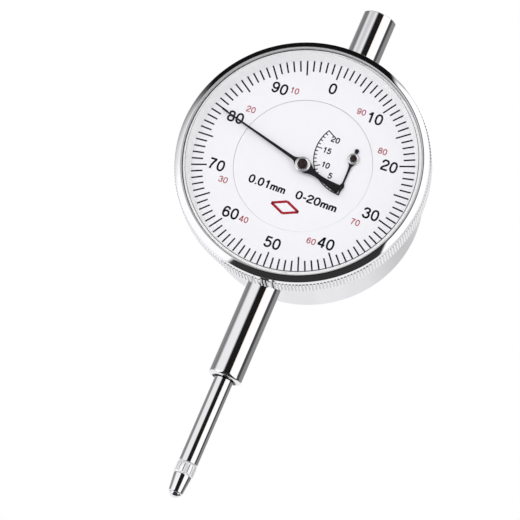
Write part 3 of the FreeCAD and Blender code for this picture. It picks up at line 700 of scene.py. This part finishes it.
def make_inner_print(mats):
    """The counter's scale, the two sizes and a plain mark, on the fixed inner dial."""
    lift = INNER_DIAL_LIFT
    scale = bmesh.new()
    length = 2 * COUNTER_ARC_R * math.sin(math.radians(COUNTER_CHORD / 2)) + 0.01
    for i in range(round(20 * COUNTER_STEP / COUNTER_CHORD)):
        angle = COUNTER_START + (i + 0.5) * COUNTER_CHORD
        x, z = clock(COUNTER_ARC_R - 0.1, angle)
        along = clock(1.0, angle + 90)
        across = clock(1.0, angle)
        ink_box(scale, (COUNTER_X + x, COUNTER_Z + z), along, across, length, COUNTER_LINE, lift)
    for i in range(21):
        length = 2.0 if i in (0, 20) else 1.5 if i % 5 == 0 else 0.75
        radial_line(scale, COUNTER_ARC_R, COUNTER_ARC_R - length, COUNTER_START + i * COUNTER_STEP,
                    COUNTER_LINE, lift, COUNTER_X, COUNTER_Z)
    place(make_object("counter_scale", scale, mats["black_ink"]), "case", "dial_white")

    labels = bmesh.new()
    for text, x, z in COUNTER_LABELS:
        add_lettering(labels, text, COUNTER_LABEL_HEIGHT, (x, z), lift, COUNTER_LABEL_STROKE)
    for text, x, z, width in SIZE_LABELS:
        add_lettering(labels, text, SIZE_LABEL_HEIGHT, (x, z), lift, SIZE_LABEL_STROKE, width=width)
    place(make_object("inner_dial_lettering", labels, mats["black_ink"]), "case", "dial_white")

    mark = bmesh.new()
    outer = [(-MARK_HALF_WIDTH, 0), (0, MARK_HALF_HEIGHT), (MARK_HALF_WIDTH, 0), (0, -MARK_HALF_HEIGHT)]
    for i in range(4):
        (x0, z0), (x1, z1) = outer[i], outer[(i + 1) % 4]
        length = math.hypot(x1 - x0, z1 - z0)
        along = ((x1 - x0) / length, (z1 - z0) / length)
        ink_box(mark, ((x0 + x1) / 2, MARK_Z + (z0 + z1) / 2), along, (-along[1], along[0]),
                length, MARK_LINE, lift)
    place(make_object("plain_red_mark", mark, mats["red_ink"]), "case", "dial_white")


# ---- hands --------------------------------------------------------------------------
def hand_outline(tip_side, tail_side):
    """Close an outline from its right half, given as (along, half width) from tip to tail."""
    half = curve_through(tip_side) + curve_through(tail_side)
    return [(w, a) for a, w in half] + [(-w, a) for a, w in reversed(half)]


def turned_blade(outline, x, z, turn, lift, thick):
    """Blade pointing at a clock angle from a pivot."""
    angle = math.radians(turn)
    cos_t, sin_t = math.cos(angle), math.sin(angle)
    points = [(x + w * cos_t + a * sin_t, z - w * sin_t + a * cos_t) for w, a in outline]
    return blade(points, lift, thick)


def make_hub(mats, name, body, node, around, lift, ring_r, boss_r):
    """Rounded bright collar with a dark turned boss standing in it."""
    crown_r = (ring_r + boss_r) / 2
    seat = lift + 0.1
    collar = [(0.5 * boss_r, lift), (ring_r, lift), (ring_r, lift + 0.06),
              (crown_r + 0.12, lift + 0.22), (crown_r, lift + 0.25), (crown_r - 0.12, lift + 0.22),
              (boss_r, seat), (0.5 * boss_r, seat)]
    collar = lathe(rounded(collar, 0.09, closed=True), around, HUB_STEPS)
    ring = make_object(name + "_collar", collar, mats["hub_metal"])
    place(ring, body, "hub_metal", node)
    boss = [(0.0, seat), (boss_r, seat), (boss_r, lift + 0.34), (0.8 * boss_r, lift + 0.44),
            (0.42 * boss_r, lift + 0.46), (0.34 * boss_r, lift + 0.38), (0.2 * boss_r, lift + 0.41),
            (0.0, lift + 0.42)]
    boss = lathe(rounded(boss, 0.05, closed=False), around, HUB_STEPS, closed=False)
    core = make_object(name + "_boss", boss, mats["hub_dark"])
    place(core, body, "hub_metal")


def make_hands(mats):
    outline = hand_outline(
        [(23.1, 0.15), (14.0, 0.25), (4.3, 0.36), (2.7, 0.42), (2.1, 0.62), (1.55, 1.05)],
        [(-0.9, 1.5), (-1.7, 1.3), (-2.6, 0.84), (-4.1, 0.56), (-6.0, 0.58), (-8.2, 0.82), (-10.5, 1.16)])
    outline = [(w - TAIL_BOW * math.sin(math.pi * max(0.0, -a) / TAIL_BOW_SPAN), a) for w, a in outline]
    bm = turned_blade(outline, 0.0, 0.0, LONG_HAND_TURN, LONG_HAND_LIFT, LONG_HAND_THICK)
    place(make_object("long_hand_blade", bm, mats["hand_black"]), "centre_set", "hand_black", "long_hand")
    make_hub(mats, "long_hand", "centre_set", "long_hand_hub", about_dial(),
             LONG_HAND_LIFT + LONG_HAND_THICK, 1.8, 1.2)

    outline = hand_outline(
        [(9.3, 0.05), (8.3, 0.18), (7.55, 0.38), (7.0, 0.54), (6.5, 0.4), (6.2, 0.22), (4.0, 0.22),
         (2.3, 0.28), (1.7, 0.42), (1.15, 0.8)],
        [(-0.9, 0.6), (-1.4, 0.3), (-1.75, 0.4), (-2.1, 0.5), (-2.42, 0.34), (-2.55, 0.05)])
    bm = turned_blade(outline, COUNTER_X, COUNTER_Z, SMALL_HAND_TURN, SMALL_HAND_LIFT, SMALL_HAND_THICK)
    place(make_object("small_hand_blade", bm, mats["hand_black"]), "counter_set", "hand_black", "small_hand")
    make_hub(mats, "small_hand", "counter_set", "small_hand_hub", about_dial(COUNTER_X, COUNTER_Z),
             SMALL_HAND_LIFT + SMALL_HAND_THICK, 1.32, 0.82)


# ---- contact point ------------------------------------------------------------------
def make_contact_point(mats):
    """Fluted collar and tapered nose of the contact point."""
    top = SPINDLE_LOW
    shank_top = top + 4.8
    tip = top - 7.3
    flutes = 14
    steps_per_flute = 8
    groove_steps = (3, 4)
    collar = [(2.05, top - 0.02), (2.22, top - 0.14), (2.34, top - 0.4), (2.34, top - 2.45),
              (2.22, top - 2.72), (2.1, top - 2.82)]
    nose = rounded([(2.1, top - 2.82), (2.16, top - 2.98), (1.7, top - 7.1), (1.52, tip),
                    (0, tip)], 0.08, closed=False)
    profile = [Vector((0, shank_top)), Vector((1.25, shank_top)), Vector((1.25, top - 0.01))]
    profile += [Vector(p) for p in collar] + nose[1:]
    fluted_rows = range(5, 7)

    def flute_radius(row, step, radius):
        phase = 2 * math.pi * (step % steps_per_flute) / steps_per_flute
        depth = 0.16 * max(0.0, -math.cos(phase)) ** 0.7
        return radius - depth if row in fluted_rows else radius

    bm = lathe(profile, about_spindle, flutes * steps_per_flute, False, flute_radius)
    # Faces down in the flutes' grooves take the darker steel finish: painted shade in the grooves.
    for index, face in enumerate(bm.faces):
        below_top = top - (face.calc_center_median().z - DIAL_Z)
        if 0.05 < below_top < 2.9:
            in_groove = 0.4 < below_top < 2.45 and index % steps_per_flute in groove_steps
            face.material_index = 2 if in_groove else 1
    point = make_object("contact_point_fluted", bm, mats["chrome"], 30.0)
    point.data.materials.append(mats["collar_satin"])
    point.data.materials.append(mats["steel"])
    place(point, "plunger", "chrome", "contact_point")


# ---- studio -------------------------------------------------------------------------
def camera_axes():
    """Right, up and towards-camera directions of the view."""
    towards = (CAMERA_AT - CAMERA_AIM).normalized()
    level_right = Vector((0, 0, 1)).cross(towards).normalized()
    level_up = towards.cross(level_right)
    roll = math.radians(CAMERA_ROLL)
    right = level_right * math.cos(roll) + level_up * math.sin(roll)
    return right, towards.cross(right), towards


def make_camera():
    right, up, towards = camera_axes()
    data = bpy.data.cameras.new("camera")
    data.lens = CAMERA_LENS
    data.sensor_width = SENSOR
    data.clip_end = 20
    camera = bpy.data.objects.new("camera", data)
    turn = Matrix((right, up, towards)).transposed().to_4x4()
    centre = Vector((0, DIAL_Y, DIAL_Z))
    camera.matrix_world = Matrix.Translation((centre + CAMERA_AT) * MM) @ turn
    bpy.context.scene.collection.objects.link(camera)
    bpy.context.scene.camera = camera


def dark_strip(graph, x, y):
    """Mask of the tall dark card, and how far right of its right side a direction is."""
    left_edge = graph.math("MULTIPLY", graph.math("SUBTRACT", STRIP_TOP, y), STRIP_SLANT)
    from_left_edge = graph.math("ADD", x, left_edge)
    sharpness = graph.remap(y, STRIP_TOP, -0.2, 0.5, 4.0)
    past_left_edge = graph.math("MULTIPLY", graph.math("ADD", from_left_edge, STRIP_LEFT), sharpness)
    left_side = graph.remap(past_left_edge, -0.07, 0.07, smooth=True)
    lean = graph.math("MULTIPLY", graph.math("SUBTRACT", y, 0.34), 0.1)
    from_right_edge = graph.math("ADD", x, lean)
    right_side = graph.remap(from_right_edge, *STRIP_RIGHT, 1.0, 0.0, smooth=True)
    return graph.math("MULTIPLY", left_side, right_side), from_right_edge


def pale_walls(graph, x, y, z):
    """Brightness of the walls, which fall off behind the object, each in its own way."""
    left = graph.mix(graph.remap(z, -0.25, 0.14, smooth=True), 0.19, 0.92)
    left = graph.mix(graph.remap(y, 0.6, 0.35), left, graph.remap(z, -0.1, 0.2, 0.3, 1.1))
    in_front = graph.remap(graph.math("ADD", z, graph.math("MULTIPLY", y, 0.2)), 0.145, 0.205)
    behind = graph.mix(graph.remap(z, -0.26, -0.14), 0.27, 0.07)
    right = graph.mix(in_front, behind, 1.12)
    return graph.mix(graph.remap(x, -0.1, 0.25, smooth=True), left, right)


def pale_ground(graph, x, y, z):
    """Mask of the white ground below and right behind the object."""
    ground = graph.mix(graph.remap(x, -0.1, 0.2), graph.remap(y, 0.18, -0.05), graph.remap(x, 0.54, 0.46))
    ground = graph.math("MAXIMUM", ground, graph.remap(z, -0.84, -0.88))
    return graph.math("MULTIPLY", ground, graph.remap(z, 0.1, -0.1))


def warm_rim(graph, y, from_right_edge):
    """Mask of the faint warm light along the right side of the dark card."""
    beside = graph.math("MULTIPLY", graph.remap(from_right_edge, 0.36, 0.44),
                        graph.remap(from_right_edge, 0.62, 0.52))
    height = graph.math("MULTIPLY", graph.remap(y, 0.15, 0.3), graph.remap(y, 0.6, 0.5))
    return graph.math("MULTIPLY", beside, height)


def make_world():
    """White studio; polished metal sees it with the dark cards that give chrome its bands.

    A direction is given by how far it points right, up and towards the photographer.
    """
    world = bpy.data.worlds.new("studio")
    world.use_nodes = True
    bpy.context.scene.world = world
    graph = Graph(world.node_tree)
    out = graph.add("ShaderNodeOutputWorld")
    direction = graph.add("ShaderNodeTexCoord").outputs["Generated"]

    def along(axis):
        dot = graph.add("ShaderNodeVectorMath", {"operation": "DOT_PRODUCT"})
        graph.feed(dot, "0", direction)
        graph.feed(dot, "1", axis)
        return dot.outputs["Value"]

    x, y, z = (along(axis) for axis in camera_axes())
    strip, from_right_edge = dark_strip(graph, x, y)
    level = graph.mix(pale_ground(graph, x, y, z), pale_walls(graph, x, y, z), GROUND_LEVEL)
    strip_in_front = graph.math("MULTIPLY", strip, graph.remap(z, 0.22, 0.26))
    level = graph.mix(strip_in_front, level, graph.remap(y, 0.2, -0.2, *STRIP_LEVELS))
    overhead = graph.math("MULTIPLY", graph.remap(y, 0.70, 0.80), graph.remap(x, 0.47, 0.43))
    level = graph.mix(overhead, level, OVERHEAD_LEVEL)

    path = graph.add("ShaderNodeLightPath")
    strength = graph.mix(path.outputs["Is Glossy Ray"], ROOM_LEVEL, level)
    strength = graph.mix(path.outputs["Is Camera Ray"], strength, 1.0)
    seen_in_metal = graph.math("MULTIPLY", warm_rim(graph, y, from_right_edge), path.outputs["Is Glossy Ray"])
    colour = graph.mix_colour(seen_in_metal, (1.0, 0.99, 1.005, 1.0), (1.0, 0.93, 0.88, 1.0))
    colour = graph.mix_colour(path.outputs["Is Camera Ray"], colour, (1.0, 1.0, 1.0, 1.0))
    shade = graph.add("ShaderNodeBackground", Color=colour)
    graph.feed(shade, "Strength", strength)
    graph.feed(out, "Surface", shade.outputs[0])


def make_lights():
    """One broad soft key from the upper left and a weak fill from the right."""
    centre = Vector((0, DIAL_Y, DIAL_Z))
    right, up, towards = camera_axes()
    for name, offset, power in (("key", towards * 500 - right * 350 + up * 350, 1.6),
                                ("fill", towards * 500 + right * 500 - up * 100, 0.6)):
        data = bpy.data.lights.new(name, "AREA")
        data.size = LIGHT_SIZE * MM
        data.energy = power
        light = bpy.data.objects.new(name, data)
        spot = (centre + offset) * MM
        aim = offset.normalized()
        light.matrix_world = Matrix.Translation(spot) @ aim.to_track_quat("Z", "Y").to_matrix().to_4x4()
        light.visible_glossy = False
        light.visible_camera = False
        bpy.context.scene.collection.objects.link(light)


def make_floor(mats):
    """Plain pale floor, well below, so that the low camera sees over it."""
    bm = bmesh.new()
    bmesh.ops.create_circle(bm, cap_ends=True, radius=FLOOR_R, segments=96)
    bmesh.ops.translate(bm, verts=bm.verts, vec=Vector((0, 0, FLOOR_Z)))
    floor = make_object("floor", bm, mats["dial_white"])
    floor.visible_glossy = False


def hide_from_reflections():
    """Keep the head's image out of the polished stem, which mirrors the studio alone."""
    kept = ("stem_sleeve", "lower_bushes", "spindle", "contact_ball", "contact_point_fluted")
    for obj in bpy.data.objects:
        if obj.type == "MESH" and obj.name not in kept:
            obj.visible_glossy = False


# ---- assembly -----------------------------------------------------------------------
NODE_FINISH = {entry["node"]: entry["material_slot"] for entry in frame["record"]["subparts"]}
bpy.context.scene.view_settings.view_transform = "Standard"
materials = make_materials()
for node, finish in NODE_FINISH.items():
    for holder in frame["nodes"][node].material_slots:
        holder.material = materials[finish]
make_bezel(materials)
make_crystal(materials)
make_ring_print(materials)
make_inner_print(materials)
make_hands(materials)
make_contact_point(materials)
make_camera()
make_world()
make_lights()
make_floor(materials)

hide_from_reflections()
